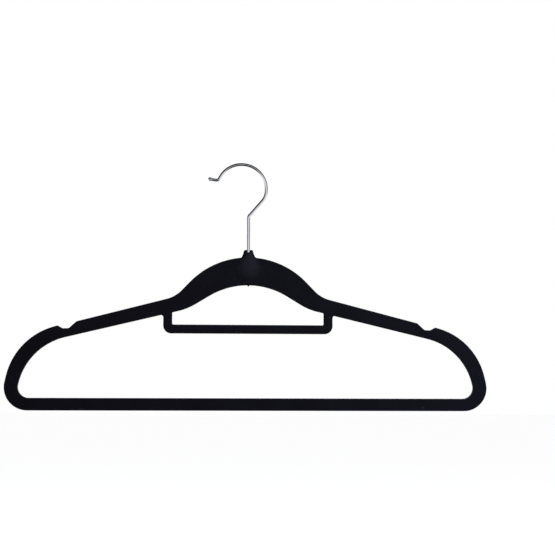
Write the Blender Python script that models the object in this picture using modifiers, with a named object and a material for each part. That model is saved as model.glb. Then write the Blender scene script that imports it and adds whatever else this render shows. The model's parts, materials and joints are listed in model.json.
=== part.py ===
"""Slim velvet clothes hanger with a swivel hook: moulded body, steel neck sleeve, washer and wire hook.

Metres, +Z up. The hanger lies in the XZ plane and its front looks along -Y. The origin is where the
hook rests on a rail, under the crown of its bowl. Shapes are drawn round a datum on the hook's shank,
level with the underside of the trouser bar, with X to the side and Z up. The datum is an empty on the
swivel's axis, and it carries every piece.
"""

from math import atan2, ceil, cos, pi, radians, sin, tan

import bmesh
import bpy
from mathutils import Vector

MM = 0.001
GAP = 0.3 * MM

# Moulded body. Its edges are rounded all the way round.
BODY_THICKNESS = 5.0 * MM
EDGE_ROUNDING = 1.2 * MM

# Outer outline, right half: where its straight lines would meet, and the radius of the
# arc there, in millimetres.
OUTER_CORNERS = (
    (0.0, 176.1, 75.7),  # crown of the arch
    (67.9, 105.7, 30.0),  # foot of the arch
    (159.0, 82.3, 2.2),  # strap notch: inner lip, floor, floor, outer lip
    (166.0, 75.9, 3.0),
    (171.5, 75.7, 4.0),
    (176.3, 78.4, 2.0),
    (214.9, 66.8, 61.5),  # shoulder
    (230.4, 0.0, 21.5),  # heel
)

# Main opening, right half.
OPENING_CORNERS = (
    (214.5, 11.6, 10.0),  # inner heel, level with the top of the trouser bar
    (203.7, 59.3, 56.9),  # shoulder
    (79.0, 89.0, 2.0),  # tie bar's leg, where it leaves the arm
    (79.0, 71.5, 7.5),  # tie bar's outer corner
)

# Window between the tie bar and the arch, right half.
WINDOW_CORNERS = (
    (0.0, 128.4, 70.0),  # underside of the arch
    (56.6, 94.3, 55.0),  # foot of the arch
    (70.7, 91.0, 1.0),  # tie bar's leg, where it leaves the arm
    (70.7, 79.8, 1.2),  # tie bar's inner corner
)

# Neck boss, an oval at each height: height, half width and half depth, in millimetres.
NECK_SECTIONS = (
    (149.7, 3.6, 3.3),
    (149.2, 4.0, 3.6),
    (146.0, 4.9, 3.9),
    (143.6, 6.2, 4.1),
    (139.0, 10.4, 4.25),
    (132.5, 12.6, 4.2),
    (127.0, 11.4, 3.7),
    (123.0, 8.2, 3.0),
    (120.5, 4.6, 2.3),
)
NECK_SEGMENTS = 32
NECK_TOP = 149.7 * MM
CLEFT_WIDTH = 3.6 * MM
CLEFT_FLOOR = 147.4 * MM

# Gate nub under the arch.
NUB_RADIUS = 0.9 * MM
NUB_HEIGHT = 1.0 * MM
ARCH_UNDERSIDE = 116.7 * MM

# Hook wire and what holds it.
WIRE_RADIUS = 1.5 * MM
BOWL_RADIUS = 23.0 * MM
BOWL_CENTRE = (-6.5 * MM, 206.8 * MM)
LEAD_IN_SWEEP = radians(60)
BEND_HEIGHT = 181.0 * MM
BEND_RADIUS = 4.0 * MM
DIAGONAL_TOP = 200.0 * MM
DIAGONAL_RADIUS = 15.0 * MM
LIP_HEIGHT = 214.5 * MM
LIP_RISE = 1.0 * MM
LIP_END = -35.0 * MM
LIP_RADIUS = 3.0 * MM
TIP_RADIUS = 1.95 * MM
HEAD_RADIUS = 2.5 * MM
HEAD_TOP = 132.6 * MM
HEAD_HEIGHT = 1.4 * MM

SLEEVE_RADIUS = 2.3 * MM
SLEEVE_BORE = WIRE_RADIUS + GAP
SLEEVE_TOP = 149.4 * MM
SLEEVE_BOTTOM = 134.0 * MM
FLANGE_RADIUS = 3.0 * MM
FLANGE_HEIGHT = 0.8 * MM
WASHER_HEIGHT = SLEEVE_BOTTOM - HEAD_TOP - 2 * GAP

SOCKET_RADIUS = SLEEVE_RADIUS + GAP
CHAMBER_RADIUS = FLANGE_RADIUS + GAP
CHAMBER_TOP = SLEEVE_BOTTOM + FLANGE_HEIGHT + GAP
CHAMBER_FLOOR = HEAD_TOP - HEAD_HEIGHT - 0.5 * MM

# The rail seat, in the datum's coordinates. It is the part's origin.
SEAT_X = BOWL_CENTRE[0]
SEAT_Z = BOWL_CENTRE[1] + BOWL_RADIUS - WIRE_RADIUS

ARC_STEP = radians(7.5)
TURNED_STEPS = 24

BLACK_FLOCK = ((0.012, 0.011, 0.016), 0.95, 0.0)
CHROME = ((0.78, 0.79, 0.81), 0.12, 1.0)
ZINC_STEEL = ((0.62, 0.62, 0.60), 0.35, 1.0)


def clear_scene():
    for obj in list(bpy.data.objects):
        bpy.data.objects.remove(obj, do_unlink=True)


def new_collection(name):
    collection = bpy.data.collections.new(name)
    bpy.context.scene.collection.children.link(collection)
    return collection


def new_material(name, finish):
    colour, roughness, metallic = finish
    material = bpy.data.materials.new(name)
    material.use_nodes = True
    shader = material.node_tree.nodes["Principled BSDF"]
    shader.inputs["Base Color"].default_value = (*colour, 1.0)
    shader.inputs["Roughness"].default_value = roughness
    shader.inputs["Metallic"].default_value = metallic
    material.diffuse_color = (*colour, 1.0)
    return material


def rounded_path(corners, closed):
    """Points of a line whose corners are arcs.

    Each corner is (x, z, radius), and the ends of an open line are sharp.
    """
    points = []
    count = len(corners)
    for index, (x, z, radius) in enumerate(corners):
        here = Vector((x, z))
        if not closed and index in (0, count - 1):
            points.append(here)
            continue
        before = (Vector(corners[index - 1][:2]) - here).normalized()
        after = (Vector(corners[(index + 1) % count][:2]) - here).normalized()
        half_angle = before.angle(after) / 2
        centre = here + (before + after).normalized() * radius / sin(half_angle)
        start = here + before * radius / tan(half_angle) - centre
        turn = pi - 2 * half_angle
        if start.x * before.y - start.y * before.x > 0:
            turn = -turn
        steps = max(2, ceil(abs(turn) / ARC_STEP))
        first = atan2(start.y, start.x)
        for step in range(steps + 1):
            angle = first + turn * step / steps
            points.append(centre + Vector((cos(angle), sin(angle))) * radius)
    return points


def mirrored(half):
    """The whole outline of a right half. A corner on the middle line isn't repeated."""
    left = [(-x, z, radius) for x, z, radius in reversed(half) if x > 0]
    return [*half, *left]


def in_metres(corners):
    return [tuple(value * MM for value in corner) for corner in corners]


def curve_object(name, dimensions, collection):
    curve = bpy.data.curves.new(name, "CURVE")
    curve.dimensions = dimensions
    obj = bpy.data.objects.new(name, curve)
    collection.objects.link(obj)
    return obj


def add_poly_spline(curve, points, closed):
    spline = curve.splines.new("POLY")
    spline.points.add(len(points) - 1)
    for target, point in zip(spline.points, points):
        target.co = (*point, 1.0)
    spline.use_cyclic_u = closed


def as_mesh(curve_obj, collection):
    """A mesh object in place of a curve object, with the curve's caps joined to its sides."""
    name = curve_obj.name
    bpy.context.view_layer.update()
    graph = bpy.context.evaluated_depsgraph_get()
    mesh = bpy.data.meshes.new_from_object(curve_obj.evaluated_get(graph))
    place = curve_obj.matrix_world.copy()
    bpy.data.objects.remove(curve_obj, do_unlink=True)
    solid = bmesh.new()
    solid.from_mesh(mesh)
    bmesh.ops.remove_doubles(solid, verts=solid.verts, dist=0.001 * MM)
    bmesh.ops.recalc_face_normals(solid, faces=solid.faces)
    solid.to_mesh(mesh)
    solid.free()
    obj = bpy.data.objects.new(name, mesh)
    obj.matrix_world = place
    collection.objects.link(obj)
    return obj


def turned(name, profile, collection):
    """A solid turned about the shank. The profile is (radius, height), its outer side first."""
    mesh = bpy.data.meshes.new(name)
    points = [(radius, 0.0, height) for radius, height in profile]
    count = len(points)
    closed = profile[0][0] > 0 and profile[-1][0] > 0
    edges = [(index, index + 1) for index in range(count - 1)]
    if closed:
        edges.append((count - 1, 0))
    mesh.from_pydata(points, edges, [])
    obj = bpy.data.objects.new(name, mesh)
    collection.objects.link(obj)
    screw = obj.modifiers.new("Turn", "SCREW")
    screw.axis = "Z"
    screw.steps = TURNED_STEPS
    screw.render_steps = TURNED_STEPS
    screw.use_merge_vertices = True
    screw.merge_threshold = 0.00001
    return obj


def add_boolean(target, operation, other):
    modifier = target.modifiers.new(f"{operation.title()} {other.name}", "BOOLEAN")
    modifier.operation = operation
    modifier.solver = "EXACT"
    modifier.object = other


def hide_helper(obj):
    obj.hide_render = True
    obj.display_type = "WIRE"


def body_plate(collection):
    """The flat frame with its two openings, lying in XY until it is stood up."""
    plate = curve_object("hanger_body", "2D", collection)
    curve = plate.data
    curve.fill_mode = "BOTH"
    curve.extrude = BODY_THICKNESS / 2 - EDGE_ROUNDING
    curve.bevel_depth = EDGE_ROUNDING
    curve.bevel_resolution = 1
    curve.offset = -EDGE_ROUNDING
    for half in (OUTER_CORNERS, OPENING_CORNERS, WINDOW_CORNERS):
        outline = rounded_path(in_metres(mirrored(half)), closed=True)
        add_poly_spline(curve, [(point.x, point.y, 0.0) for point in outline], closed=True)
    plate.rotation_euler.x = pi / 2
    return as_mesh(plate, collection)


def neck_boss(collection):
    """Raised boss round the socket: a stack of oval sections, widest where the flange and the washer lie."""
    mesh = bpy.data.meshes.new("neck_boss")
    solid = bmesh.new()
    rings = []
    for height, half_width, half_depth in in_metres(NECK_SECTIONS):
        ring = []
        for index in range(NECK_SEGMENTS):
            angle = 2 * pi * index / NECK_SEGMENTS
            ring.append(solid.verts.new((half_width * cos(angle), half_depth * sin(angle), height)))
        rings.append(ring)
    for upper, lower in zip(rings, rings[1:]):
        for index in range(NECK_SEGMENTS):
            following = (index + 1) % NECK_SEGMENTS
            solid.faces.new((upper[index], lower[index], lower[following], upper[following]))
    solid.faces.new(rings[0])
    solid.faces.new(reversed(rings[-1]))
    bmesh.ops.recalc_face_normals(solid, faces=solid.faces)
    solid.to_mesh(mesh)
    solid.free()
    obj = bpy.data.objects.new("neck_boss", mesh)
    collection.objects.link(obj)
    hide_helper(obj)
    return obj


def gate_nub(collection):
    mesh = bpy.data.meshes.new("gate_nub")
    solid = bmesh.new()
    bmesh.ops.create_cone(
        solid,
        cap_ends=True,
        segments=12,
        radius1=NUB_RADIUS * 0.7,
        radius2=NUB_RADIUS,
        depth=2 * NUB_HEIGHT,
    )
    solid.to_mesh(mesh)
    solid.free()
    obj = bpy.data.objects.new("gate_nub", mesh)
    obj.location.z = ARCH_UNDERSIDE
    collection.objects.link(obj)
    hide_helper(obj)
    return obj


def socket_cutter(collection):
    """Stepped hole for the sleeve, its flange, the washer and the wire's head."""
    above = NECK_TOP + 2 * MM
    cutter = turned(
        "socket_cutter",
        (
            (0.0, above),
            (SOCKET_RADIUS, above),
            (SOCKET_RADIUS, CHAMBER_TOP),
            (CHAMBER_RADIUS, CHAMBER_TOP),
            (CHAMBER_RADIUS, CHAMBER_FLOOR),
            (0.0, CHAMBER_FLOOR),
        ),
        collection,
    )
    hide_helper(cutter)
    return cutter


def cleft_cutter(collection):
    """Slot from front to back through the top of the neck, which leaves an ear on each side of the wire."""
    mesh = bpy.data.meshes.new("cleft_cutter")
    solid = bmesh.new()
    bmesh.ops.create_cube(solid, size=1.0)
    depth = 4 * BODY_THICKNESS
    height = 2 * (NECK_TOP - CLEFT_FLOOR)
    bmesh.ops.scale(solid, verts=solid.verts, vec=(CLEFT_WIDTH, depth, height))
    solid.to_mesh(mesh)
    solid.free()
    obj = bpy.data.objects.new("cleft_cutter", mesh)
    obj.location.z = CLEFT_FLOOR + height / 2
    collection.objects.link(obj)
    hide_helper(obj)
    return obj


def build_body(parts, cutters, material):
    body = body_plate(parts)
    add_boolean(body, "UNION", neck_boss(cutters))
    add_boolean(body, "UNION", gate_nub(cutters))
    add_boolean(body, "DIFFERENCE", socket_cutter(cutters))
    add_boolean(body, "DIFFERENCE", cleft_cutter(cutters))
    body.data.materials.append(material)
    return body


def build_sleeve(parts, material):
    flange_top = SLEEVE_BOTTOM + FLANGE_HEIGHT
    sleeve = turned(
        "neck_sleeve",
        (
            (SLEEVE_RADIUS, SLEEVE_TOP),
            (SLEEVE_RADIUS, flange_top),
            (FLANGE_RADIUS, flange_top),
            (FLANGE_RADIUS, SLEEVE_BOTTOM),
            (SLEEVE_BORE, SLEEVE_BOTTOM),
            (SLEEVE_BORE, SLEEVE_TOP),
        ),
        parts,
    )
    sleeve.data.materials.append(material)
    return sleeve


def build_washer(parts, material):
    top = SLEEVE_BOTTOM - GAP
    washer = turned(
        "retaining_washer",
        (
            (FLANGE_RADIUS, top),
            (FLANGE_RADIUS, top - WASHER_HEIGHT),
            (SLEEVE_BORE, top - WASHER_HEIGHT),
            (SLEEVE_BORE, top),
        ),
        parts,
    )
    washer.data.materials.append(material)
    return washer


def hook_corners():
    """Corners of the wire's centre line, from the head to the start of the tip."""
    centre_x, centre_z = BOWL_CENTRE
    side = centre_x + BOWL_RADIUS
    crown = centre_z + BOWL_RADIUS
    lead_x = centre_x - BOWL_RADIUS * tan(LEAD_IN_SWEEP / 2)
    lip_x = lead_x - (crown - LIP_HEIGHT) / tan(LEAD_IN_SWEEP)
    return (
        (0.0, HEAD_TOP - HEAD_HEIGHT / 2, 0.0),
        (0.0, BEND_HEIGHT, BEND_RADIUS),
        (side, DIAGONAL_TOP, DIAGONAL_RADIUS),
        (side, crown, BOWL_RADIUS),
        (lead_x, crown, BOWL_RADIUS),
        (lip_x, LIP_HEIGHT, LIP_RADIUS),
        (LIP_END, LIP_HEIGHT + LIP_RISE, 0.0),
    )


def hook_tip(cutters):
    """Rounded bead that the wire's end is upset into."""
    mesh = bpy.data.meshes.new("hook_tip")
    solid = bmesh.new()
    bmesh.ops.create_uvsphere(solid, u_segments=16, v_segments=10, radius=TIP_RADIUS)
    solid.to_mesh(mesh)
    solid.free()
    obj = bpy.data.objects.new("hook_tip", mesh)
    obj.location = (LIP_END, 0.0, LIP_HEIGHT + LIP_RISE)
    cutters.objects.link(obj)
    hide_helper(obj)
    return obj


def hook_head(cutters):
    """Upset head under the washer."""
    bottom = HEAD_TOP - HEAD_HEIGHT
    head = turned(
        "hook_head",
        (
            (0.0, HEAD_TOP),
            (HEAD_RADIUS, HEAD_TOP),
            (HEAD_RADIUS, bottom + HEAD_HEIGHT / 2),
            (HEAD_RADIUS * 0.6, bottom),
            (0.0, bottom),
        ),
        cutters,
    )
    hide_helper(head)
    return head


def build_hook(parts, cutters, material):
    wire = curve_object("swivel_hook", "3D", parts)
    wire.data.bevel_depth = WIRE_RADIUS
    wire.data.bevel_resolution = 4
    wire.data.use_fill_caps = True
    line = rounded_path(hook_corners(), closed=False)
    add_poly_spline(wire.data, [(point.x, 0.0, point.y) for point in line], closed=False)
    hook = as_mesh(wire, parts)
    add_boolean(hook, "UNION", hook_tip(cutters))
    add_boolean(hook, "UNION", hook_head(cutters))
    hook.data.materials.append(material)
    return hook


def main():
    clear_scene()
    parts = new_collection("velvet_hanger")
    cutters = new_collection("cutters")
    cutters.hide_render = True
    flock = new_material("black_flock", BLACK_FLOCK)
    chrome = new_material("chrome", CHROME)
    steel = new_material("zinc_steel", ZINC_STEEL)
    build_body(parts, cutters, flock)
    build_sleeve(parts, steel)
    build_washer(parts, steel)
    build_hook(parts, cutters, chrome)
    datum = bpy.data.objects.new("swivel_axis", None)
    datum.location = (-SEAT_X, 0.0, -SEAT_Z)
    parts.objects.link(datum)
    for obj in (*parts.objects, *cutters.objects):
        if obj is not datum:
            obj.parent = datum


main()
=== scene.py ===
"""Slim velvet clothes hanger: fine meshes, finishes and a plain studio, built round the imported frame.

Every piece is drawn in millimetres round a datum on the swivel's axis, level with the underside of the
trouser bar. X runs along the hanger, Z is up, and the front looks along -Y. The datum's place comes from
the frame.
"""

import json
import logging
from collections.abc import Callable, Iterable, Sequence
from dataclasses import dataclass, field
from enum import Enum
from math import atan2, ceil, cos, pi, radians, sin, sqrt, tan

import bmesh
import bpy
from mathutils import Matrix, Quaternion, Vector


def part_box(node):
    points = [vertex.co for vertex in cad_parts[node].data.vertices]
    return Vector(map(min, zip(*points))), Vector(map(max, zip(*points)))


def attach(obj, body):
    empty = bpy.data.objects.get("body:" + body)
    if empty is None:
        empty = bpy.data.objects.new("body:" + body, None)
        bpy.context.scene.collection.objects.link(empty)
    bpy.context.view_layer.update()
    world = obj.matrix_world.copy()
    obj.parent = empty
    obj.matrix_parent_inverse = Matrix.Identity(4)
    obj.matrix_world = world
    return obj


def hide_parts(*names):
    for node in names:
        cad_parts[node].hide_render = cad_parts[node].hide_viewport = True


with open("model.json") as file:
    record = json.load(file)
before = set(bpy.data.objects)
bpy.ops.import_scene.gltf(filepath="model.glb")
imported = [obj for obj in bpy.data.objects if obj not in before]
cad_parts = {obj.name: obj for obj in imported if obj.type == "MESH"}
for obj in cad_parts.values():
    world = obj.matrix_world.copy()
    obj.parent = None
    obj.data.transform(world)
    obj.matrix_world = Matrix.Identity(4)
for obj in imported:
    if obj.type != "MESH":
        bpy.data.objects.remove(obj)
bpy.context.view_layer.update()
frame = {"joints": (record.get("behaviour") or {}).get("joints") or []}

log = logging.getLogger("hanger")

MM = 0.001
ARC_STEP = radians(3.0)
TURNED_STEPS = 64
WELD = 0.01 * MM
DECIMALS = 7
SMOOTH_BELOW = radians(35.0)
ROUND_OVER = radians(50.0)
NODE_COLUMNS = 8
NODE_WIDTH = 180
NODE_HEIGHT = 220

Point = tuple[float, float]
Span = tuple[float, float]
Corner = tuple[float, float, float]
Place = tuple[float, float, float]
Colour = tuple[float, float, float]

Piece = bpy.types.Object
Finish = bpy.types.Material
Node = bpy.types.Node
Socket = bpy.types.NodeSocket
Tree = bpy.types.NodeTree


class Slot(Enum):
    """The record's material slots."""

    FLOCK = "black_flock"
    CHROME = "chrome"
    ZINC = "zinc_steel"


class Body(Enum):
    """The two bodies that the swivel joins."""

    HOOK = "hook"
    HANGER = "hanger"


# --------------------------------------------------------------------------------------------------------
# Places and modelling steps
# --------------------------------------------------------------------------------------------------------


@dataclass(frozen=True)
class Datum:
    """Where the drawings' origin lies in the row frame, in metres."""

    axis_x: float
    base_z: float

    @classmethod
    def from_frame(cls) -> "Datum":
        """Reads the swivel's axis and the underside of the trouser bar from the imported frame."""
        low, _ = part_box("hanger_body")
        return cls(frame["joints"][0]["pos_m"][0], low.z)

    def point(self, x: float, z: float, y: float = 0.0) -> Vector:
        """The place in metres of a drawn point in millimetres."""
        return Vector((self.axis_x + x * MM, y * MM, self.base_z + z * MM))


def fillet(
    before: Vector, corner: Vector, after: Vector, radius: float
) -> tuple[Vector, Vector, Vector]:
    """Works out the arc that rounds a corner.

    Args:
        before: A point on the line into the corner.
        corner: Where the two lines would meet.
        after: A point on the line out of the corner.
        radius: The arc's radius.

    Returns:
        The arc's start, its centre and its end.
    """
    back = (before - corner).normalized()
    onward = (after - corner).normalized()
    half_angle = back.angle(onward) / 2
    centre = corner + (back + onward).normalized() * radius / sin(half_angle)
    reach = radius / tan(half_angle)
    return corner + back * reach, centre, corner + onward * reach


class Pen:
    """Draws with what is selected in edit mode, a vertex or a ring, by extruding and spinning it."""

    def __init__(self, datum: Datum, start: Point) -> None:
        """Sets the pen down.

        Args:
            datum: The drawing's datum.
            start: Where the selection is, in the drawing.
        """
        self.datum = datum
        self.here = Vector(start)

    def line_to(self, point: Iterable[float]) -> None:
        """Extrudes the selection along a straight line.

        Args:
            point: The drawn point that it ends at.
        """
        there = Vector(point)
        step = (there - self.here) * MM
        bpy.ops.mesh.extrude_region_move(TRANSFORM_OT_translate={"value": (step.x, 0.0, step.y)})
        self.here = there

    def arc_to(self, centre: Vector, end: Iterable[float]) -> None:
        """Spins the selection about a centre until it reaches a drawn point.

        Args:
            centre: The arc's centre.
            end: The arc's end, less than half a turn away.
        """
        there = Vector(end)
        start_arm, end_arm = self.here - centre, there - centre
        turn = atan2(start_arm.x * end_arm.y - start_arm.y * end_arm.x, start_arm.dot(end_arm))
        steps = max(2, ceil(abs(turn) / ARC_STEP))
        pivot = self.datum.point(centre.x, centre.y)
        bpy.ops.mesh.spin(steps=steps, angle=turn, center=pivot, axis=(0.0, 1.0, 0.0))
        self.here = there

    def round_corner(self, corner: Corner, after: Iterable[float]) -> None:
        """Draws up to a corner and round it, ready to go on towards another point.

        Args:
            corner: Where the lines would meet, and the radius there.
            after: A point on the line out of the corner.
        """
        start, centre, end = fillet(self.here, Vector(corner[:2]), Vector(after), corner[2])
        self.line_to(start)
        self.arc_to(centre, end)

    def follow(self, corners: Sequence[Corner], end: Iterable[float]) -> None:
        """Draws a run of rounded corners and the straight line to its end.

        Args:
            corners: Where the lines would meet, and the radius there.
            end: Where the last line ends.
        """
        for corner, after in zip(corners, [*(c[:2] for c in corners[1:]), end]):
            self.round_corner(corner, after)
        self.line_to(end)


def start_object(name: str) -> Piece:
    """Opens the primitive that was just added in edit mode, all selected.

    Args:
        name: What the object and its mesh are called.

    Returns:
        The object.
    """
    piece = bpy.context.active_object
    piece.name = name
    piece.data.name = name
    bpy.ops.object.mode_set(mode="EDIT")
    bpy.ops.mesh.select_mode(type="VERT")
    bpy.ops.mesh.select_all(action="SELECT")
    return piece


def add_pen_point(name: str, place: Vector) -> Piece:
    """Adds a plane and merges it to a single selected vertex, from which an outline is drawn.

    Args:
        name: The new object's name.
        place: Where the vertex and the object's origin go.

    Returns:
        The new object, in edit mode.
    """
    bpy.ops.object.select_all(action="DESELECT")
    bpy.ops.mesh.primitive_plane_add(size=MM, location=place)
    piece = start_object(name)
    bpy.ops.mesh.merge(type="CENTER")
    return piece


def close_doubles() -> None:
    """Merges vertices that meet, all over the mesh in edit mode."""
    bpy.ops.mesh.select_all(action="SELECT")
    bpy.ops.mesh.remove_doubles(threshold=WELD)


def select_faces(piece: Piece, wanted: Callable[[Vector, Vector], bool]) -> None:
    """Selects some faces of the mesh in edit mode, and no others.

    Args:
        piece: The object.
        wanted: A test of a face's local centre and normal.
    """
    bpy.ops.mesh.select_mode(type="FACE")
    bpy.ops.mesh.select_all(action="DESELECT")
    mesh = bmesh.from_edit_mesh(piece.data)
    for face in mesh.faces:
        face.select_set(wanted(face.calc_center_median(), face.normal))
    bmesh.update_edit_mesh(piece.data)


def apply_modifier(piece: Piece, kind: str, **settings: object) -> None:
    """Adds a modifier with the settings given and applies it.

    Args:
        piece: The object, which becomes the active one.
        kind: The modifier's type.
        **settings: Its values, by name.
    """
    bpy.context.view_layer.objects.active = piece
    modifier = piece.modifiers.new(kind.title(), kind)
    for name, value in settings.items():
        setattr(modifier, name, value)
    bpy.ops.object.modifier_apply(modifier=modifier.name)


def combine(target: Piece, other: Piece, operation: str) -> None:
    """Joins another solid to the target or cuts it away, and removes the other object."""
    apply_modifier(target, "BOOLEAN", operation=operation, solver="EXACT", object=other)
    bpy.data.objects.remove(other, do_unlink=True)


def number_by_place(piece: Piece) -> None:
    """Numbers corners, edges and faces by their places, so that every run welds them the same way.

    Args:
        piece: The object, in edit mode.
    """
    edit = bmesh.from_edit_mesh(piece.data)
    kinds = (
        (edit.verts, lambda vert: vert.co),
        (edit.edges, lambda edge: (edge.verts[0].co + edge.verts[1].co) / 2),
        (edit.faces, lambda face: face.calc_center_median()),
    )
    for elements, middle in kinds:
        places = {element: [round(value, DECIMALS) for value in middle(element)] for element in elements}
        for index, element in enumerate(sorted(elements, key=places.get)):
            element.index = index
        elements.sort()
    bmesh.update_edit_mesh(piece.data)


def mend_cuts(piece: Piece) -> None:
    """Welds corners that the cuts left a hair apart and splits the many-sided faces into triangles.

    Args:
        piece: The object that was cut.
    """
    bpy.context.view_layer.objects.active = piece
    bpy.ops.object.mode_set(mode="EDIT")
    bpy.ops.mesh.select_mode(type="VERT")
    number_by_place(piece)
    close_doubles()
    bpy.ops.mesh.dissolve_degenerate(threshold=WELD)
    bpy.ops.mesh.select_mode(type="FACE")
    bpy.ops.mesh.select_face_by_sides(number=4, type="GREATER", extend=False)
    bpy.ops.mesh.quads_convert_to_tris(ngon_method="BEAUTY")
    bpy.ops.object.mode_set(mode="OBJECT")


def round_edges(piece: Piece, width: float, segments: int) -> None:
    """Rounds the sharp edges.

    Args:
        piece: The object.
        width: The rounding, in millimetres.
        segments: How many faces it takes.
    """
    apply_modifier(
        piece,
        "BEVEL",
        width=width * MM,
        segments=segments,
        limit_method="ANGLE",
        angle_limit=ROUND_OVER,
        use_clamp_overlap=True,
    )


def settle(piece: Piece) -> None:
    """Moves the object's place into its mesh and shades it smooth between its sharp edges.

    Args:
        piece: The finished object, in object mode.
    """
    bpy.ops.object.select_all(action="DESELECT")
    piece.select_set(True)
    bpy.context.view_layer.objects.active = piece
    bpy.ops.object.transform_apply(location=True, rotation=True, scale=True)
    bpy.ops.object.shade_smooth_by_angle(angle=SMOOTH_BELOW)
    apply_modifier(piece, "WEIGHTED_NORMAL", keep_sharp=True, weight=80)


def turn_profile(name: str, datum: Datum, profile: Sequence[Point], closed: bool) -> Piece:
    """Draws a profile beside the swivel's axis and spins it into a solid.

    Args:
        name: The new object's name.
        datum: The drawing's datum.
        profile: Radius and height of each corner, in millimetres.
        closed: True if the profile is a loop clear of the axis.

    Returns:
        The solid, in object mode, with its faces pointing out.
    """
    piece = add_pen_point(name, datum.point(*profile[0]))
    pen = Pen(datum, profile[0])
    for corner in (*profile[1:], *(profile[:1] if closed else ())):
        pen.line_to(corner)
    bpy.ops.mesh.select_all(action="SELECT")
    middle = datum.point(0.0, 0.0)
    bpy.ops.mesh.spin(steps=TURNED_STEPS, angle=2 * pi, center=middle, axis=(0.0, 0.0, 1.0))
    close_doubles()
    bpy.ops.mesh.normals_make_consistent(inside=False)
    bpy.ops.object.mode_set(mode="OBJECT")
    return piece


# --------------------------------------------------------------------------------------------------------
# Finishes
# --------------------------------------------------------------------------------------------------------


class Desk:
    """A node tree being wired, with short ways to add nodes and to join them."""

    def __init__(self, tree: Tree) -> None:
        """Takes the tree that the nodes go in."""
        self.tree = tree
        self.count = 0

    def node(
        self, kind: str, inputs: dict[str | int, object] | None = None, **settings: object
    ) -> Node:
        """Adds a node.

        Args:
            kind: Its type.
            inputs: Values, or output sockets to join, by input name or number.
            **settings: The node's own properties.

        Returns:
            The new node.
        """
        made = self.tree.nodes.new(kind)
        row, column = divmod(self.count, NODE_COLUMNS)
        made.location = (NODE_WIDTH * column, -NODE_HEIGHT * row)
        self.count += 1
        for name, value in settings.items():
            setattr(made, name, value)
        for key, value in (inputs or {}).items():
            self.feed(made.inputs[key], value)
        return made

    def feed(self, socket: Socket, value: object) -> None:
        """Fills an input.

        Args:
            socket: The input.
            value: An output socket to join to it, or its value.
        """
        if isinstance(value, Socket):
            self.tree.links.new(value, socket)
        else:
            socket.default_value = value

    def math(self, operation: str, *values: object, clamp: bool = False) -> Socket:
        """Adds a Math node.

        Args:
            operation: What it does.
            *values: Its inputs, numbers or sockets.
            clamp: True if the result is kept between 0 and 1.

        Returns:
            Its output.
        """
        inputs = dict(enumerate(values))
        return self.node("ShaderNodeMath", inputs, operation=operation, use_clamp=clamp).outputs[0]

    def ramp(self, value: object, span: Span, to: Span = (0.0, 1.0)) -> Socket:
        """Adds a Map Range node that goes smoothly from one span of values to another.

        Args:
            value: What is mapped.
            span: The values that it goes from.
            to: The values that it goes to.

        Returns:
            Its output.
        """
        inputs = {0: value, 1: span[0], 2: span[1], 3: to[0], 4: to[1]}
        return self.node("ShaderNodeMapRange", inputs, interpolation_type="SMOOTHSTEP").outputs[0]

    def blend(self, factor: object, first: object, second: object) -> Socket:
        """Adds a colour Mix node.

        Args:
            factor: The share of the second colour.
            first: A colour, or a socket.
            second: Another.

        Returns:
            Its output.
        """
        mix = self.node("ShaderNodeMix", {0: factor}, data_type="RGBA")
        for key, value in ((6, first), (7, second)):
            self.feed(mix.inputs[key], (*value, 1.0) if isinstance(value, tuple) else value)
        return mix.outputs[2]


def new_group(
    name: str, inputs: dict[str, tuple[str, object]], output: str
) -> tuple[Desk, dict[str, Socket], Socket]:
    """Makes a shader node group with named sockets.

    Args:
        name: The group's name.
        inputs: Socket type and starting value, by input name.
        output: Name of the output, a plain value.

    Returns:
        The group's desk, its input sockets by name, and the socket that its result goes to.
    """
    tree = bpy.data.node_groups.new(name, "ShaderNodeTree")
    for label, (kind, value) in inputs.items():
        socket = tree.interface.new_socket(label, in_out="INPUT", socket_type=kind)
        if value is not None:
            socket.default_value = value
    tree.interface.new_socket(output, in_out="OUTPUT", socket_type="NodeSocketFloat")
    desk = Desk(tree)
    entry = desk.node("NodeGroupInput")
    leave = desk.node("NodeGroupOutput")
    return desk, {label: entry.outputs[label] for label in inputs}, leave.inputs[output]


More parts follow.
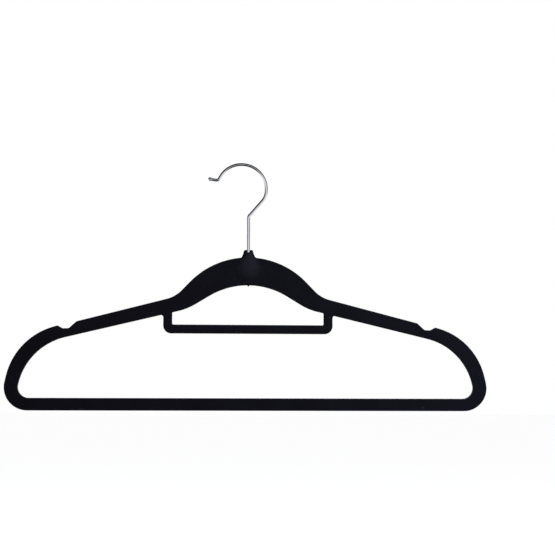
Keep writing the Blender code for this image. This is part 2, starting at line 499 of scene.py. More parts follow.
class Effects:
    """The effects that more than one finish uses, each built once as a node group."""

    def __init__(self) -> None:
        """Builds the groups."""
        self.grain = self._grain()
        self.patches = self._patches()
        self.specks = self._specks()

    @staticmethod
    def _grain() -> Tree:
        """Fine raised grain: rounded tufts broken up by a finer noise. Size is in millimetres.

        Returns:
            The group.
        """
        desk, given, out = new_group(
            "Fine Grain",
            {
                "Vector": ("NodeSocketVector", None),
                "Size": ("NodeSocketFloat", 0.5),
                "Roughness": ("NodeSocketFloat", 0.5),
            },
            "Height",
        )
        scale = desk.math("DIVIDE", 1.0 / MM, given["Size"])
        place = given["Vector"]
        tufts = desk.node("ShaderNodeTexVoronoi", {"Vector": place, "Scale": scale, "Randomness": 1.0})
        finer = desk.math("MULTIPLY", scale, 1.7)
        noise = desk.node(
            "ShaderNodeTexNoise", {"Vector": place, "Scale": finer, "Detail": 3.0, "Roughness": 0.65}
        )
        crown = desk.math("SUBTRACT", 1.0, tufts.outputs["Distance"], clamp=True)
        mixed = desk.node("ShaderNodeMix", {0: given["Roughness"], 2: crown, 3: noise.outputs[0]})
        desk.feed(out, mixed.outputs[0])
        return desk.tree

    @staticmethod
    def _patches() -> Tree:
        """Soft uneven patches, such as brushed pile or handling marks. Size is in millimetres.

        Returns:
            The group.
        """
        desk, given, out = new_group(
            "Soft Patches",
            {
                "Vector": ("NodeSocketVector", None),
                "Size": ("NodeSocketFloat", 20.0),
                "Contrast": ("NodeSocketFloat", 0.5),
            },
            "Mask",
        )
        scale = desk.math("DIVIDE", 1.0 / MM, given["Size"])
        shape = {"Detail": 4.0, "Roughness": 0.55, "Distortion": 0.4}
        noise = desk.node("ShaderNodeTexNoise", {"Vector": given["Vector"], "Scale": scale, **shape})
        centred = desk.math("SUBTRACT", noise.outputs[0], 0.5)
        steepness = desk.math("MULTIPLY_ADD", given["Contrast"], 4.0, 1.0)
        spread = desk.math("MULTIPLY", centred, steepness)
        desk.feed(out, desk.math("ADD", spread, 0.5, clamp=True))
        return desk.tree

    @staticmethod
    def _specks() -> Tree:
        """Sparse tiny specks, such as lint or dust.

        Size is their spacing in millimetres, and Amount is the share of the places that has one.

        Returns:
            The group.
        """
        desk, given, out = new_group(
            "Sparse Specks",
            {
                "Vector": ("NodeSocketVector", None),
                "Size": ("NodeSocketFloat", 4.0),
                "Amount": ("NodeSocketFloat", 0.15),
            },
            "Mask",
        )
        scale = desk.math("DIVIDE", 1.0 / MM, given["Size"])
        place = given["Vector"]
        cells = desk.node("ShaderNodeTexVoronoi", {"Vector": place, "Scale": scale, "Randomness": 1.0})
        pick = desk.node("ShaderNodeSeparateColor", {0: cells.outputs["Color"]})
        kept = desk.math("LESS_THAN", pick.outputs[0], given["Amount"])
        reach = desk.math("MULTIPLY_ADD", pick.outputs[1], 0.05, 0.02)
        near = desk.math("LESS_THAN", cells.outputs["Distance"], reach)
        desk.feed(out, desk.math("MULTIPLY", near, kept))
        return desk.tree


def new_material(slot: Slot, colour: Colour) -> tuple[Finish, Desk, Node, Socket]:
    """Makes a material for a slot.

    Args:
        slot: The record's slot, which names it.
        colour: The colour shown in the viewport.

    Returns:
        The material, its desk, its Principled shader and the Object coordinates that its patterns read.
    """
    material = bpy.data.materials.new(f"{slot.value}_finish")
    material.use_nodes = True
    material.diffuse_color = (*colour, 1.0)
    desk = Desk(material.node_tree)
    shader = material.node_tree.nodes["Principled BSDF"]
    place = desk.node("ShaderNodeTexCoord").outputs["Object"]
    return material, desk, shader, place


def use_effect(desk: Desk, group: Tree, **inputs: object) -> Socket:
    """Places an effect in a material.

    Args:
        desk: The material's desk.
        group: The effect.
        **inputs: Its values there, by the names of its inputs in lower case.

    Returns:
        Its only output.
    """
    named = {name.title(): value for name, value in inputs.items()}
    placed = desk.node("ShaderNodeGroup", node_tree=group)
    for name, value in named.items():
        desk.feed(placed.inputs[name], value)
    return placed.outputs[0]


@dataclass(frozen=True)
class Relief:
    """How strongly a pattern stands up, and how deep it is in millimetres."""

    strength: float
    depth: float


def bump(desk: Desk, layers: Sequence[tuple[Socket, Relief]]) -> Socket:
    """Stacks bump layers.

    Args:
        desk: The material's desk.
        layers: The height and the relief of each layer, deepest first.

    Returns:
        The normal of the last layer.
    """
    below = {}
    for height, relief in layers:
        inputs = {"Height": height, "Strength": relief.strength, "Distance": relief.depth * MM}
        below = {"Normal": desk.node("ShaderNodeBump", {**inputs, **below}).outputs[0]}
    return below["Normal"]


@dataclass(frozen=True)
class BlackFlock:
    """Short black nylon pile on moulded plastic.

    The rounded edge gets a painted sheen, broken up in patches, and the neck boss a painted highlight.
    Lengths are in millimetres.
    """

    effects: Effects
    half_thickness: float = 2.5
    edge_rounding: float = 1.2
    boss_rise: float = 1.7
    deep: Colour = (0.0013, 0.0011, 0.0020)
    raised: Colour = (0.0046, 0.0041, 0.0068)
    # painted highlight: the neck boss's lighter colour stands in for the light that its swelling catches
    painted_boss_highlight: Colour = (0.0053, 0.0049, 0.0076)
    # painted sheen: the lighter colour of the rounded edge stands in for the light that the pile catches
    # there
    painted_rim_sheen: Colour = (0.044, 0.044, 0.050)
    lint: Colour = (0.16, 0.16, 0.17)
    sheen: Colour = (0.60, 0.59, 0.80)
    fibre_ends: Span = (0.38, 0.72)
    brushed_span: Span = (0.2, 0.8)
    brushed_share: Span = (0.55, 1.0)
    # soft patches that break up the painted edge sheen
    sheen_patch_span: Span = (0.15, 0.75)
    sheen_patch_share: Span = (0.45, 1.0)
    lint_cover: float = 0.7
    matt: Span = (0.88, 0.99)
    flat_margin: float = 0.04
    rim_middle: float = 0.55
    rim_end: float = 1.1
    wall_share: Span = (0.15, 1.0)
    clump_relief: Relief = Relief(0.10, 0.10)
    pile_relief: Relief = Relief(0.9, 0.12)

    def build(self) -> Finish:
        """Wires the material.

        Returns:
            The material.
        """
        material, desk, shader, place = new_material(Slot.FLOCK, self.raised)
        effects = self.effects
        pile = use_effect(desk, effects.grain, vector=place, size=0.22, roughness=0.75)
        clumps = use_effect(desk, effects.grain, vector=place, size=2.4, roughness=1.0)
        brushed = use_effect(desk, effects.patches, vector=place, size=26.0, contrast=0.35)
        sheen_patches = use_effect(desk, effects.patches, vector=place, size=7.0, contrast=0.8)
        lint = use_effect(desk, effects.specks, vector=place, size=5.5, amount=0.06)
        across = desk.node("ShaderNodeSeparateXYZ", {0: place}).outputs["Y"]
        depth = desk.math("ABSOLUTE", across)

        lifted = desk.ramp(brushed, self.brushed_span, self.brushed_share)
        tuft = desk.math("MULTIPLY", desk.ramp(pile, self.fibre_ends), lifted)
        colour = desk.blend(tuft, self.deep, self.raised)
        # painted highlight on the neck boss
        colour = desk.blend(self._crest(desk, depth), colour, self.painted_boss_highlight)
        # painted sheen on the rounded edge, broken up by soft patches
        sheen_breakup = desk.ramp(sheen_patches, self.sheen_patch_span, self.sheen_patch_share)
        rim_sheen_share = desk.math("MULTIPLY", self._rim(desk, depth), sheen_breakup)
        colour = desk.blend(rim_sheen_share, colour, self.painted_rim_sheen)
        colour = desk.blend(desk.math("MULTIPLY", lint, self.lint_cover), colour, self.lint)
        desk.feed(shader.inputs["Base Color"], colour)
        desk.feed(shader.inputs["Roughness"], desk.ramp(brushed, (0.0, 1.0), self.matt))
        layers = ((clumps, self.clump_relief), (pile, self.pile_relief))
        desk.feed(shader.inputs["Normal"], bump(desk, layers))
        shader.inputs["Specular IOR Level"].default_value = 0.12
        shader.inputs["Sheen Weight"].default_value = 0.07
        shader.inputs["Sheen Roughness"].default_value = 0.42
        shader.inputs["Sheen Tint"].default_value = (*self.sheen, 1.0)
        return material

    def _rim(self, desk: Desk, depth: Socket) -> Socket:
        """Masks the rounded edge for the painted sheen, strongest in the middle of its curve.

        Args:
            desk: The material's desk.
            depth: How far a point lies from the middle of the plate.

        Returns:
            The mask.
        """
        face = (self.half_thickness - self.flat_margin) * MM
        middle = (self.half_thickness - self.rim_middle * self.edge_rounding) * MM
        wall = (self.half_thickness - self.rim_end * self.edge_rounding) * MM
        below_face = desk.ramp(depth, (face, middle))
        above_wall = desk.ramp(depth, (wall, middle), self.wall_share)
        return desk.math("MULTIPLY", below_face, above_wall)

    def _crest(self, desk: Desk, depth: Socket) -> Socket:
        """Masks the neck boss, where a painted highlight stands in for the light that the swelling catches.

        Args:
            desk: The material's desk.
            depth: How far a point lies from the middle of the plate.

        Returns:
            The mask.
        """
        top = self.half_thickness + self.boss_rise
        return desk.ramp(depth, (self.half_thickness * MM, top * MM))


@dataclass(frozen=True)
class Chrome:
    """Bright plating on drawn wire, with a slight haze, hairline scuffs and a little dust."""

    effects: Effects
    bright: Colour = (0.79, 0.80, 0.84)
    hazed: Colour = (0.60, 0.61, 0.67)
    haze_cover: float = 0.5
    haze_span: Span = (0.2, 0.9)
    polish: Span = (0.06, 0.14)
    scuff_span: Span = (0.7, 1.0)
    scuffed: Span = (0.0, 0.12)
    dusty: float = 0.4
    drawn_out: Place = (1.0, 1.0, 0.12)
    ripple_relief: Relief = Relief(0.10, 0.02)
    scuff_relief: Relief = Relief(0.08, 0.01)

    def build(self) -> Finish:
        """Wires the material.

        Returns:
            The material.
        """
        material, desk, shader, place = new_material(Slot.CHROME, self.bright)
        effects = self.effects
        along = desk.node("ShaderNodeMapping", {"Vector": place, "Scale": self.drawn_out}).outputs[0]
        haze = use_effect(desk, effects.patches, vector=place, size=9.0, contrast=0.5)
        scuffs = use_effect(desk, effects.patches, vector=along, size=0.7, contrast=0.9)
        ripple = use_effect(desk, effects.grain, vector=place, size=1.1, roughness=1.0)
        dust = use_effect(desk, effects.specks, vector=place, size=1.6, amount=0.10)

        hazed = desk.math("MULTIPLY", haze, self.haze_cover)
        desk.feed(shader.inputs["Base Color"], desk.blend(hazed, self.bright, self.hazed))
        dulled = desk.ramp(scuffs, self.scuff_span, self.scuffed)
        rough = desk.math("ADD", desk.ramp(haze, self.haze_span, self.polish), dulled)
        rough = desk.math("MULTIPLY_ADD", dust, self.dusty, rough, clamp=True)
        desk.feed(shader.inputs["Roughness"], rough)
        layers = ((ripple, self.ripple_relief), (scuffs, self.scuff_relief))
        desk.feed(shader.inputs["Normal"], bump(desk, layers))
        shader.inputs["Metallic"].default_value = 1.0
        return material


@dataclass(frozen=True)
class ZincSteel:
    """Turned steel with bright zinc: fine rings round the axis under a cloudy passivated film."""

    effects: Effects
    clean: Colour = (0.95, 0.95, 0.94)
    clouded: Colour = (0.86, 0.86, 0.84)
    polish: Span = (0.10, 0.20)
    grainy: float = 0.06
    dusty: float = 0.3
    ring_relief: Relief = Relief(0.12, 0.02)
    grain_relief: Relief = Relief(0.12, 0.01)

    def build(self) -> Finish:
        """Wires the material.

        Returns:
            The material.
        """
        material, desk, shader, place = new_material(Slot.ZINC, self.clean)
        effects = self.effects
        clouds = use_effect(desk, effects.patches, vector=place, size=2.2, contrast=0.6)
        grain = use_effect(desk, effects.grain, vector=place, size=0.25, roughness=0.9)
        dust = use_effect(desk, effects.specks, vector=place, size=1.1, amount=0.12)
        rings = desk.node(
            "ShaderNodeTexWave",
            {"Vector": place, "Scale": 1500.0, "Distortion": 0.6, "Detail": 2.0},
            bands_direction="Z",
        ).outputs["Fac"]

        desk.feed(shader.inputs["Base Color"], desk.blend(clouds, self.clean, self.clouded))
        film = desk.ramp(clouds, (0.0, 1.0), self.polish)
        rough = desk.math("MULTIPLY_ADD", grain, self.grainy, film)
        rough = desk.math("MULTIPLY_ADD", dust, self.dusty, rough, clamp=True)
        desk.feed(shader.inputs["Roughness"], rough)
        layers = ((rings, self.ring_relief), (grain, self.grain_relief))
        desk.feed(shader.inputs["Normal"], bump(desk, layers))
        shader.inputs["Metallic"].default_value = 1.0
        return material


# --------------------------------------------------------------------------------------------------------
# Pieces
# --------------------------------------------------------------------------------------------------------


def hand_over(piece: Piece, body: Body, node: str, finish: Finish) -> None:
    """Dresses a finished piece and ties it to the frame.

    Args:
        piece: The piece.
        body: The body that it moves with.
        node: The CAD node that it stands for.
        finish: Its material.
    """
    settle(piece)
    piece.data.materials.clear()
    piece.data.materials.append(finish)
    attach(piece, body.value)
    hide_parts(node)
    log.info("%s: %d faces, on %s", piece.name, len(piece.data.polygons), body.value)


@dataclass
class NeckSocket:
    """The stepped hole in the neck and the cleft above it. Sizes are in millimetres."""

    bore: float = 2.6
    chamber: float = 3.3
    chamber_top: float = 135.1
    chamber_floor: float = 130.7
    cleft_width: float = 3.6
    cleft_floor: float = 147.4
    cleft_depth: float = 16.0
    cleft_rounding: float = 0.7
    cleft_segments: int = 4
    overshoot: float = 3.0

    def cut(self, body: Piece, datum: Datum, top: float) -> None:
        """Cuts the hole and the cleft.

        Args:
            body: The hanger's body.
            datum: The drawing's datum.
            top: The height of the neck's top.
        """
        clear = top + self.overshoot
        profile = (
            (0.0, clear),
            (self.bore, clear),
            (self.bore, self.chamber_top),
            (self.chamber, self.chamber_top),
            (self.chamber, self.chamber_floor),
            (0.0, self.chamber_floor),
        )
        combine(body, turn_profile("socket", datum, profile, closed=False), "DIFFERENCE")
        combine(body, self._cleft(datum, clear), "DIFFERENCE")

    def _cleft(self, datum: Datum, top: float) -> Piece:
        """Models a slot from front to back whose lower edges are rounded.

        Args:
            datum: The drawing's datum.
            top: How high it reaches.

        Returns:
            The slot as a solid, in object mode.
        """
        middle = datum.point(0.0, (self.cleft_floor + top) / 2)
        bpy.ops.object.select_all(action="DESELECT")
        bpy.ops.mesh.primitive_cube_add(size=MM, location=middle)
        slot = start_object("cleft")
        size = (self.cleft_width, self.cleft_depth, top - self.cleft_floor)
        bpy.ops.transform.resize(value=size, center_override=middle)
        bpy.ops.mesh.select_mode(type="EDGE")
        bpy.ops.mesh.select_all(action="DESELECT")
        edit = bmesh.from_edit_mesh(slot.data)
        for edge in edit.edges:
            low = all(vert.co.z < 0 for vert in edge.verts)
            edge.select_set(low and abs(edge.verts[0].co.y - edge.verts[1].co.y) > WELD)
        bmesh.update_edit_mesh(slot.data)
        rounding = self.cleft_rounding * MM
        bpy.ops.mesh.bevel(offset=rounding, segments=self.cleft_segments, affect="EDGES")
        bpy.ops.object.mode_set(mode="OBJECT")
        return slot


@dataclass
class NeckBoss:
    """The swelling round the socket. Its sections give height, half width and half depth, in millimetres.

    On the arch it fades softly into the flat face. Above the arch it is the neck itself, an oval.
    """

    half_region: float = 14.8
    region_floor: float = 117.2
    region_margin: float = 3.0
    region_edge: float = 0.01
    grid: float = 0.8
    first_row: float = 0.15
    neck_from: float = 141.6
    neck_full: float = 145.2
    neck_edge: float = 1.1
    soft_power: float = 1.7
    oval_power: float = 0.5
    least_share: float = 0.42
    blur: tuple[float, ...] = (-1.0, -0.5, 0.0, 0.5, 1.0)
    sections: tuple[Corner, ...] = (
        (119.2, 6.5, 2.5),
        (123.0, 11.5, 3.0),
        (127.0, 14.0, 3.7),
        (132.5, 14.7, 4.23),
        (139.0, 11.5, 4.24),
        (143.6, 6.6, 4.1),
        (146.0, 5.1, 3.9),
        (149.2, 4.3, 3.6),
        (149.7, 4.2, 3.35),
    )

    def shape(self, body: Piece, half_thickness: float, top: float) -> None:
        """Cuts a fine grid into the middle of the arch and swells it.

        Args:
            body: The hanger's body, in object mode, with its origin on the swivel's axis.
            half_thickness: Half of the plate's thickness.
            top: The height of the neck's top, where the body's origin is.
        """
        bpy.context.view_layer.objects.active = body
        bpy.ops.object.mode_set(mode="EDIT")
        self._grid(body, top)
        bpy.ops.object.mode_set(mode="OBJECT")
        for vert in body.data.vertices:
            x, height = vert.co.x / MM, vert.co.z / MM + top
            if abs(x) < self.half_region - self.region_edge and height > self.region_floor:
                vert.co.y *= self._half_depth(x, height, half_thickness) / half_thickness

    def _grid(self, body: Piece, top: float) -> None:
        """Bisects the faces of the region along X and along Z.

        Args:
            body: The hanger's body, in edit mode.
            top: The height of the neck's top.
        """
        edge = self.half_region * MM
        floor = (self.region_floor - top) * MM
        sideways, up = Vector((1.0, 0.0, 0.0)), Vector((0.0, 0.0, 1.0))
        for side in (-1, 1):
            bpy.ops.mesh.select_all(action="SELECT")
            self._bisect(body, sideways, side * edge)
        columns = round(2 * self.half_region / self.grid)
        for index in range(1, columns):
            self._select_region(body, top)
            self._bisect(body, sideways, edge * (2 * index / columns - 1))
        rows = round((top - self.region_floor) / self.grid)
        for index in range(rows):
            self._select_region(body, top)
            self._bisect(body, up, floor * (1 - (index + self.first_row) / rows))

    @staticmethod
    def _bisect(body: Piece, axis: Vector, offset: float) -> None:
        """Cuts the selected faces square to an axis, at an offset from the body's origin."""
        bpy.ops.mesh.bisect(plane_co=body.location + axis * offset, plane_no=axis, threshold=WELD)

    def _select_region(self, body: Piece, top: float) -> None:
        """Selects the faces in the middle of the arch.

        Args:
            body: The hanger's body, in edit mode.
            top: The height of the neck's top.
        """
        edge = self.half_region * MM
        floor = (self.region_floor - self.region_margin - top) * MM
        select_faces(body, lambda centre, _: abs(centre.x) < edge and centre.z > floor)

    def _half_depth(self, x: float, height: float, half_thickness: float) -> float:
        """Works out half of the body's depth at a point of the region.

        Args:
            x: How far the point lies from the swivel's axis.
            height: Its height.
            half_thickness: Half of the plate's thickness.

        Returns:
            Half of the depth, in millimetres.
        """
        half_width, depth = self._section(height)
        share = min(1.0, max(0.0, (height - self.neck_from) / (self.neck_full - self.neck_from)))
        neck = share * share * (3 - 2 * share)
        edge = half_thickness + (self.neck_edge - half_thickness) * neck
        power = self.soft_power + (self.oval_power - self.soft_power) * neck
        across = max(0.0, 1.0 - (x / half_width) ** 2)
        return max(edge + (depth - edge) * across**power, self.least_share * half_thickness)

    def _section(self, height: float) -> Point:
        """Averages the boss's section over the heights close by, so that no ridge shows.

        Args:
            height: Where the section is wanted.

        Returns:
            Half width and half depth.
        """
        sections = [self._raw_section(height + offset) for offset in self.blur]
        half_widths, half_depths = zip(*sections)
        return sum(half_widths) / len(sections), sum(half_depths) / len(sections)

    def _raw_section(self, height: float) -> Point:
        """Finds the boss's section at a height, straight between those that are given.

        Args:
            height: Where the section is wanted.

        Returns:
            Half width and half depth.
        """
        if height <= self.sections[0][0]:
            return self.sections[0][1:]
        for lower, upper in zip(self.sections, self.sections[1:]):
            if height <= upper[0]:
                share = (height - lower[0]) / (upper[0] - lower[0])
                return tuple(a + (b - a) * share for a, b in zip(lower[1:], upper[1:]))
        return self.sections[-1][1:]


@dataclass
class HangerBody:
    """The one-piece flocked moulding. Outlines are of the right half, corner by corner, in millimetres."""

    datum: Datum
    finish: Finish
    thickness: float = 5.0
    edge_rounding: float = 1.2
    edge_segments: int = 5
    neck_top: float = 149.7
    crown: Corner = (0.0, 176.1, 75.7)
    crown_start: float = 9.0
    neck: tuple[Corner, ...] = ((4.05, 149.7, 1.5), (4.9, 146.0, 7.0), (6.5, 142.53, 2.2))
    outer: tuple[Corner, ...] = (
        (67.9, 105.7, 30.0),
        (159.0, 82.3, 2.2),
        (166.0, 75.9, 3.0),
        (171.5, 75.7, 4.0),
        (176.3, 78.4, 2.0),
        (214.9, 66.8, 61.5),
        (230.4, 0.0, 21.5),
    )
    opening: tuple[Corner, ...] = (
        (214.5, 11.6, 10.0),
        (203.7, 59.3, 56.9),
        (79.0, 89.0, 2.0),
        (79.0, 71.5, 7.5),
    )
    window: tuple[Corner, ...] = ((70.7, 79.8, 1.2), (70.7, 91.0, 1.0), (56.6, 94.3, 55.0))
    vault: Corner = (0.0, 128.4, 70.0)
    nub_radius: float = 0.9
    nub_height: float = 1.0
    nub_straight: float = 0.2
    nub_chamfer: float = 0.15
    nub_taper: Span = (0.85, 0.6)
    boss: NeckBoss = field(default_factory=NeckBoss)
    socket: NeckSocket = field(default_factory=NeckSocket)

    def build(self) -> Piece:
        """Models the body and hands it over.

        Returns:
            The finished body.
        """
        body = self._plate()
        self.boss.shape(body, self.thickness / 2, self.neck_top)
        combine(body, self._gate_nub(), "UNION")
        self.socket.cut(body, self.datum, self.neck_top)
        mend_cuts(body)
        hand_over(body, Body.HANGER, "hanger_body", self.finish)
        return body

    def _plate(self) -> Piece:
        """Models the flat frame with its two openings and rounded edges.

        Returns:
            The frame, in object mode.
        """
        front = self.datum.point(0.0, self.neck_top, -self.thickness / 2)
        plate = add_pen_point("flocked_body", front)
        self._draw_half()
        close_doubles()
        bpy.ops.mesh.edge_face_add()
        across = (0.0, self.thickness * MM, 0.0)
        bpy.ops.mesh.extrude_region_move(TRANSFORM_OT_translate={"value": across})
        select_faces(plate, lambda centre, normal: abs(centre.x) < WELD and abs(normal.x) > 0.9)
        bpy.ops.mesh.delete(type="ONLY_FACE")
        bpy.ops.object.mode_set(mode="OBJECT")
        self._centre_origin(plate)
        apply_modifier(plate, "MIRROR", use_axis=(True, False, False), merge_threshold=WELD)
        bpy.ops.object.mode_set(mode="EDIT")
        close_doubles()
        bpy.ops.mesh.normals_make_consistent(inside=False)
        bpy.ops.object.mode_set(mode="OBJECT")
        round_edges(plate, self.edge_rounding, self.edge_segments)
        return plate

    def _centre_origin(self, plate: Piece) -> None:
        """Puts the object's origin in the middle of its thickness."""
        bpy.context.scene.cursor.location = self.datum.point(0.0, self.neck_top)
        bpy.ops.object.origin_set(type="ORIGIN_CURSOR")

    def _draw_half(self) -> None:
        """Draws the half outline: the outer edge, the main opening and the window, in one run."""
        pen = Pen(self.datum, (0.0, self.neck_top))
        crown_centre, crown_end = self._arch(self.crown, self.outer[0])
        crown_rise = sqrt(self.crown[2] ** 2 - self.crown_start**2)
        pen.follow(self.neck, crown_centre + Vector((self.crown_start, crown_rise)))
        pen.arc_to(crown_centre, crown_end)
        pen.follow(self.outer, (0.0, 0.0))
        pen.line_to((0.0, self.opening[0][1]))
        pen.follow(self.opening, (0.0, self.opening[-1][1]))
        pen.line_to((0.0, self.window[0][1]))
        foot = self.window[-1]
        for corner, after in zip(self.window, (self.window[1], foot, self.vault)):
            pen.round_corner(corner, after[:2])
        far_foot = Vector((-foot[0], foot[1]))
        start, centre, _ = fillet(pen.here, Vector(self.vault[:2]), far_foot, self.vault[2])
        pen.line_to(start)
        pen.arc_to(centre, (0.0, centre.y + self.vault[2]))
        pen.line_to((0.0, self.neck_top))

    @staticmethod
    def _arch(crown: Corner, foot: Corner) -> tuple[Vector, Vector]:
        """Works out the arc over the middle, between a foot on each side.

        Args:
            crown: Where the two slopes would meet, and the arc's radius.
            foot: Where the right slope ends.

        Returns:
            The arc's centre and its right end.
        """
        far_foot = Vector((-foot[0], foot[1]))
        _, centre, end = fillet(far_foot, Vector(crown[:2]), Vector(foot[:2]), crown[2])
        return centre, end

    def _gate_nub(self) -> Piece:
        """Models the stub that the moulding's gate leaves under the arch.

        Returns:
            The stub, in object mode.
        """
        centre, _ = self._arch(self.vault, self.window[-1])
        underside = centre.y + self.vault[2]
        low = underside - self.nub_height
        profile = (
            (0.0, underside + self.nub_height),
            (self.nub_radius, underside + self.nub_height),
            (self.nub_radius, underside - self.nub_straight),
            (self.nub_radius * self.nub_taper[0], low + self.nub_chamfer),
            (self.nub_radius * self.nub_taper[1], low),
            (0.0, low),
        )
        return turn_profile("nub", self.datum, profile, closed=False)


@dataclass
class NeckSleeve:
    """The flanged steel sleeve in the neck, in which the wire turns. Sizes are in millimetres."""

    datum: Datum
    finish: Finish
    radius: float = 2.3
    bore: float = 1.8
    top: float = 149.4
    bottom: float = 134.0
    flange_radius: float = 3.0
    flange_height: float = 0.8
    edge_break: float = 0.14
    break_segments: int = 3

    def build(self) -> Piece:
        """Models the sleeve and hands it over.

        Returns:
            The finished sleeve.
        """
        shelf = self.bottom + self.flange_height
        profile = (
            (self.radius, self.top),
            (self.radius, shelf),
            (self.flange_radius, shelf),
            (self.flange_radius, self.bottom),
            (self.bore, self.bottom),
            (self.bore, self.top),
        )
        sleeve = turn_profile("turned_sleeve", self.datum, profile, closed=True)
        round_edges(sleeve, self.edge_break, self.break_segments)
        hand_over(sleeve, Body.HANGER, "neck_sleeve", self.finish)
        return sleeve


@dataclass
class RetainingWasher:
    """The washer between the sleeve's flange and the wire's head. Sizes are in millimetres."""

    datum: Datum
    finish: Finish
    radius: float = 3.0
    bore: float = 1.8
    top: float = 133.7
    height: float = 0.8
    edge_break: float = 0.12
    break_segments: int = 3

    def build(self) -> Piece:
        """Models the washer and hands it over.

        Returns:
            The finished washer.
        """
        bottom = self.top - self.height
        profile = (
            (self.radius, self.top),
            (self.radius, bottom),
            (self.bore, bottom),
            (self.bore, self.top),
        )
        washer = turn_profile("punched_washer", self.datum, profile, closed=True)
        round_edges(washer, self.edge_break, self.break_segments)
        hand_over(washer, Body.HOOK, "retaining_washer", self.finish)
        return washer


@dataclass
class SwivelHook:
    """The chromed wire hook, from its upset head to its beaded tip. Sizes are in millimetres."""

    datum: Datum
    finish: Finish
    wire: float = 1.5
    sides: int = 32
    bowl_radius: float = 23.0
    bowl_centre: Point = (-6.5, 206.8)
    lead_in: float = radians(60.0)
    bend: Corner = (0.0, 181.0, 4.0)
    diagonal_top: float = 200.0
    diagonal_radius: float = 15.0
    lip_height: float = 214.5
    lip_rise: float = 1.0
    lip_end: float = -35.0
    lip_radius: float = 3.0
    tip_radius: float = 1.95
    tip_steps: int = 10
    tip_point: float = 0.12
    head_radius: float = 2.5
    head_foot: float = 0.6
    head_top: float = 132.6
    head_height: float = 1.4

    def build(self) -> Piece:
        """Models the hook and hands it over.

        Returns:
            The finished hook.
        """
        bottom = self.head_top - self.head_height
        foot = self.head_radius * self.head_foot
        bpy.ops.object.select_all(action="DESELECT")
        bpy.ops.mesh.primitive_circle_add(
            vertices=self.sides,
            radius=foot * MM,
            fill_type="NGON",
            location=self.datum.point(0.0, bottom),
        )
        hook = start_object("wire_hook")
        pen = Pen(self.datum, (0.0, bottom))
        self._swell(pen, Vector((0.0, 1.0)), foot, self._head_profile())
        corners = self._corners()
        tip = Vector((self.lip_end, self.lip_height + self.lip_rise))
        pen.follow(corners, tip)
        lip = (tip - Vector(corners[-1][:2])).normalized()
        self._swell(pen, lip, self.wire, self._bead_profile())
        close_doubles()
        bpy.ops.mesh.normals_make_consistent(inside=False)
        bpy.ops.object.mode_set(mode="OBJECT")
        hand_over(hook, Body.HOOK, "swivel_hook", self.finish)
        return hook

    def _corners(self) -> tuple[Corner, ...]:
        """Works out where the straight lines of the wire's middle would meet, from the shank to the lip.

        Returns:
            The corners, each with its radius.
        """
        centre_x, centre_z = self.bowl_centre
        side, top = centre_x + self.bowl_radius, centre_z + self.bowl_radius
        lead_x = centre_x - self.bowl_radius * tan(self.lead_in / 2)
        lip_x = lead_x - (top - self.lip_height) / tan(self.lead_in)
        return (
            self.bend,
            (side, self.diagonal_top, self.diagonal_radius),
            (side, top, self.bowl_radius),
            (lead_x, top, self.bowl_radius),
            (lip_x, self.lip_height, self.lip_radius),
        )

    def _head_profile(self) -> tuple[Point, ...]:
        """Lists the rings of the upset head.

        Returns:
            Advance and radius of each ring.
        """
        return (
            (0.10 * self.head_height, 0.76 * self.head_radius),
            (0.25 * self.head_height, 0.94 * self.head_radius),
            (0.20 * self.head_height, self.head_radius),
            (0.33 * self.head_height, self.head_radius),
            (0.10 * self.head_height, 0.93 * self.head_radius),
            (0.02 * self.head_height, 1.10 * self.wire),
            (0.14 * self.head_height, self.wire),
        )

    def _bead_profile(self) -> tuple[Point, ...]:
        """Lists the rings of the rounded bead at the tip.

        Returns:
            Advance and radius of each ring.
        """
        start = -sqrt(self.tip_radius**2 - self.wire**2)
        length = self.tip_radius - start
        places = [start + length * index / self.tip_steps for index in range(self.tip_steps)]
        rings = []
        for before, place in zip(places, places[1:]):
            eased = self.tip_radius * sin((pi / 2) * (1 + place / self.tip_radius))
            ball = sqrt(max(0.0, self.tip_radius**2 - place * place))
            rings.append((place - before, max(eased, ball)))
        return (*rings, (self.tip_radius - places[-1], self.tip_point))

    def _swell(self, pen: Pen, heading: Vector, radius: float, profile: Sequence[Point]) -> None:
        """Extrudes the ring straight on, changing its radius as it goes.

        Args:
            pen: The pen that carries the ring.
            heading: Which way to go, as a unit vector in the drawing.
            radius: The ring's radius to start with.
            profile: Advance and radius of each new ring.
        """
        for advance, wanted in profile:
            pen.line_to(pen.here + heading * advance)
            share = wanted / radius
            centre = self.datum.point(pen.here.x, pen.here.y)
            bpy.ops.transform.resize(value=(share, share, share), center_override=centre)
            radius = wanted


# --------------------------------------------------------------------------------------------------------
# Studio
# --------------------------------------------------------------------------------------------------------


@dataclass(frozen=True)
class Flag:
    """A dark card of the studio: which way it lies, where its soft edge starts and ends, and how dark it is.

    The edges are cosines of the angle from the card's middle.
    """

    heading: Colour
    outer: float
    inner: float
    level: float


@dataclass(frozen=True)
class Softbox:
    """A square area light that faces the hanger: its name, its place and side in metres, power and colour."""

    name: str
    place: Place
    size: float
    watts: float
    tint: Colour


@dataclass(frozen=True)
class View:
    """Where the camera stands, by its heading in degrees, how far off it is, its lens and what it faces."""

    azimuth: float = -5.283
    pitch: float = 3.182
    roll: float = 0.189
    distance: float = 1.70
    lens: float = 118.05
    aim: Point = (27.29, 124.27)
    reach: float = 60.0


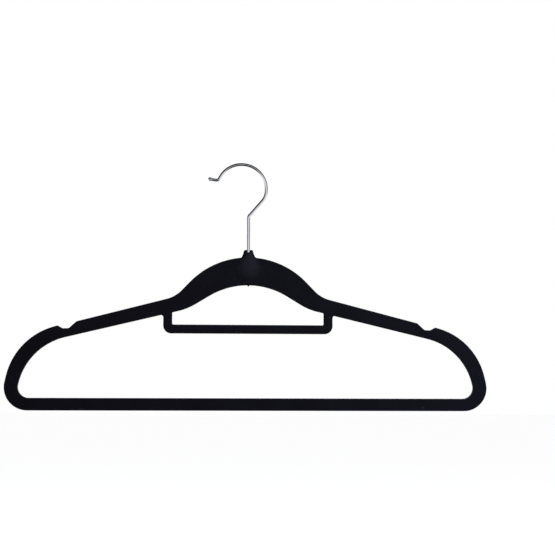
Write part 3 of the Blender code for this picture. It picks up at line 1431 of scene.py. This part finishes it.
@dataclass
class Studio:
    """A white studio with a few dark cards, which polished wire mirrors, and two softboxes.

    Lengths are in metres, but for drawn points.
    """

    datum: Datum
    floor_drop: float = 0.27
    floor_radius: float = 14.0
    floor_glow: float = 0.80
    floor_tones: tuple[Colour, Colour] = ((0.84, 0.84, 0.85), (0.88, 0.88, 0.88))
    lit_point: Point = (0.0, 100.0)
    view: View = View()
    flags: tuple[Flag, ...] = (
        Flag((0.0, -0.35, -0.93), 0.58, 0.84, 0.02),  # under the hanger
        Flag((0.0, -0.75, -0.66), 0.74, 0.90, 0.04),  # below the camera
        Flag((0.0, -0.75, 0.66), 0.80, 0.93, 0.10),  # above the camera
        Flag((0.0, -1.0, 0.0), 0.45, 0.95, 0.78),  # round the camera
        Flag((-0.66, 0.0, 0.75), 0.46, 0.72, 0.01),  # upper left
        Flag((0.80, 0.0, 0.60), 0.62, 0.84, 0.08),  # upper right
        Flag((0.0, -0.3, 0.95), 0.66, 0.88, 0.20),  # overhead
    )
    softboxes: tuple[Softbox, ...] = (
        Softbox("key_softbox", (0.80, -0.55, 0.35), 0.45, 46.0, (0.88, 1.0, 1.02)),
        Softbox("rear_softbox", (-0.7, 1.5, 1.0), 1.2, 30.0, (1.0, 1.0, 1.0)),
    )

    def build(self) -> None:
        """Builds the floor, the surroundings, the lights and the camera."""
        self._floor()
        self._surroundings()
        for softbox in self.softboxes:
            self._light(softbox)
        self._camera()

    def _floor(self) -> None:
        """A wide pale disc, lit from beneath, well below the hanger."""
        bpy.ops.object.select_all(action="DESELECT")
        place = (self.datum.axis_x, 0.0, self.datum.base_z - self.floor_drop)
        bpy.ops.mesh.primitive_circle_add(
            vertices=96,
            radius=self.floor_radius,
            fill_type="NGON",
            location=place,
        )
        floor = bpy.context.active_object
        floor.name = "studio_floor"
        floor.visible_glossy = False
        floor.visible_diffuse = False
        material = bpy.data.materials.new("pale_floor")
        material.use_nodes = True
        desk = Desk(material.node_tree)
        shader = material.node_tree.nodes["Principled BSDF"]
        inputs = {"Vector": desk.node("ShaderNodeTexCoord").outputs["Object"], "Scale": 3.0, "Detail": 3.0}
        noise = desk.node("ShaderNodeTexNoise", inputs).outputs[0]
        desk.feed(shader.inputs["Base Color"], desk.blend(noise, *self.floor_tones))
        shader.inputs["Roughness"].default_value = 0.9
        shader.inputs["Emission Color"].default_value = (1.0, 1.0, 1.0, 1.0)
        shader.inputs["Emission Strength"].default_value = self.floor_glow
        floor.data.materials.append(material)

    def _surroundings(self) -> None:
        """Puts white behind everything, and the dark cards where only light and reflections find them."""
        world = bpy.data.worlds.new("studio")
        bpy.context.scene.world = world
        world.use_nodes = True
        desk = Desk(world.node_tree)
        heading = desk.node("ShaderNodeTexCoord").outputs["Generated"]
        level = 1.0
        for flag in self.flags:
            middle = Vector(flag.heading).normalized()
            inputs = {0: heading, 1: middle}
            near = desk.node("ShaderNodeVectorMath", inputs, operation="DOT_PRODUCT").outputs["Value"]
            dimmed = desk.ramp(near, (flag.outer, flag.inner), (1.0, flag.level))
            level = desk.math("MULTIPLY", level, dimmed)
        seen = desk.node("ShaderNodeLightPath").outputs["Is Camera Ray"]
        strength = desk.node("ShaderNodeMix", {0: seen, 2: level, 3: 1.0}).outputs[0]
        background = world.node_tree.nodes["Background"]
        background.inputs["Color"].default_value = (1.0, 1.0, 1.0, 1.0)
        desk.feed(background.inputs["Strength"], strength)

    def _light(self, softbox: Softbox) -> None:
        """Adds a softbox. It isn't mirrored: polished pieces mirror only the surroundings.

        Args:
            softbox: What is added.
        """
        bpy.ops.object.light_add(type="AREA", location=softbox.place)
        lamp = bpy.context.active_object
        lamp.name = softbox.name
        lamp.data.shape = "SQUARE"
        lamp.data.size = softbox.size
        lamp.data.energy = softbox.watts
        lamp.data.color = softbox.tint
        lamp.visible_glossy = False
        ahead = self.datum.point(*self.lit_point) - Vector(softbox.place)
        lamp.rotation_euler = ahead.to_track_quat("-Z", "Y").to_euler()

    def _camera(self) -> None:
        """Stands the camera a little to the left, level with the bar and looking up slightly."""
        view = self.view
        azimuth, pitch, roll = radians(view.azimuth), radians(view.pitch), radians(view.roll)
        ahead = Vector((sin(-azimuth) * cos(pitch), cos(azimuth) * cos(pitch), sin(pitch)))
        bpy.ops.object.camera_add(location=self.datum.point(*view.aim) - ahead * view.distance)
        camera = bpy.context.active_object
        camera.name = "camera"
        upright = ahead.to_track_quat("-Z", "Y")
        camera.rotation_euler = (Quaternion(ahead, -roll) @ upright).to_euler()
        camera.data.lens = view.lens
        camera.data.clip_end = view.reach
        bpy.context.scene.camera = camera
        bpy.context.scene.view_settings.view_transform = "Standard"


# --------------------------------------------------------------------------------------------------------
# Assembly
# --------------------------------------------------------------------------------------------------------


def main() -> None:
    """Builds the hanger piece by piece, then the studio."""
    logging.basicConfig(level=logging.INFO, format="%(name)s: %(message)s")
    datum = Datum.from_frame()
    effects = Effects()
    flock = BlackFlock(effects).build()
    chrome = Chrome(effects).build()
    zinc = ZincSteel(effects).build()
    HangerBody(datum, flock).build()
    NeckSleeve(datum, zinc).build()
    RetainingWasher(datum, zinc).build()
    SwivelHook(datum, chrome).build()
    Studio(datum).build()


if __name__ == "__main__":
    main()
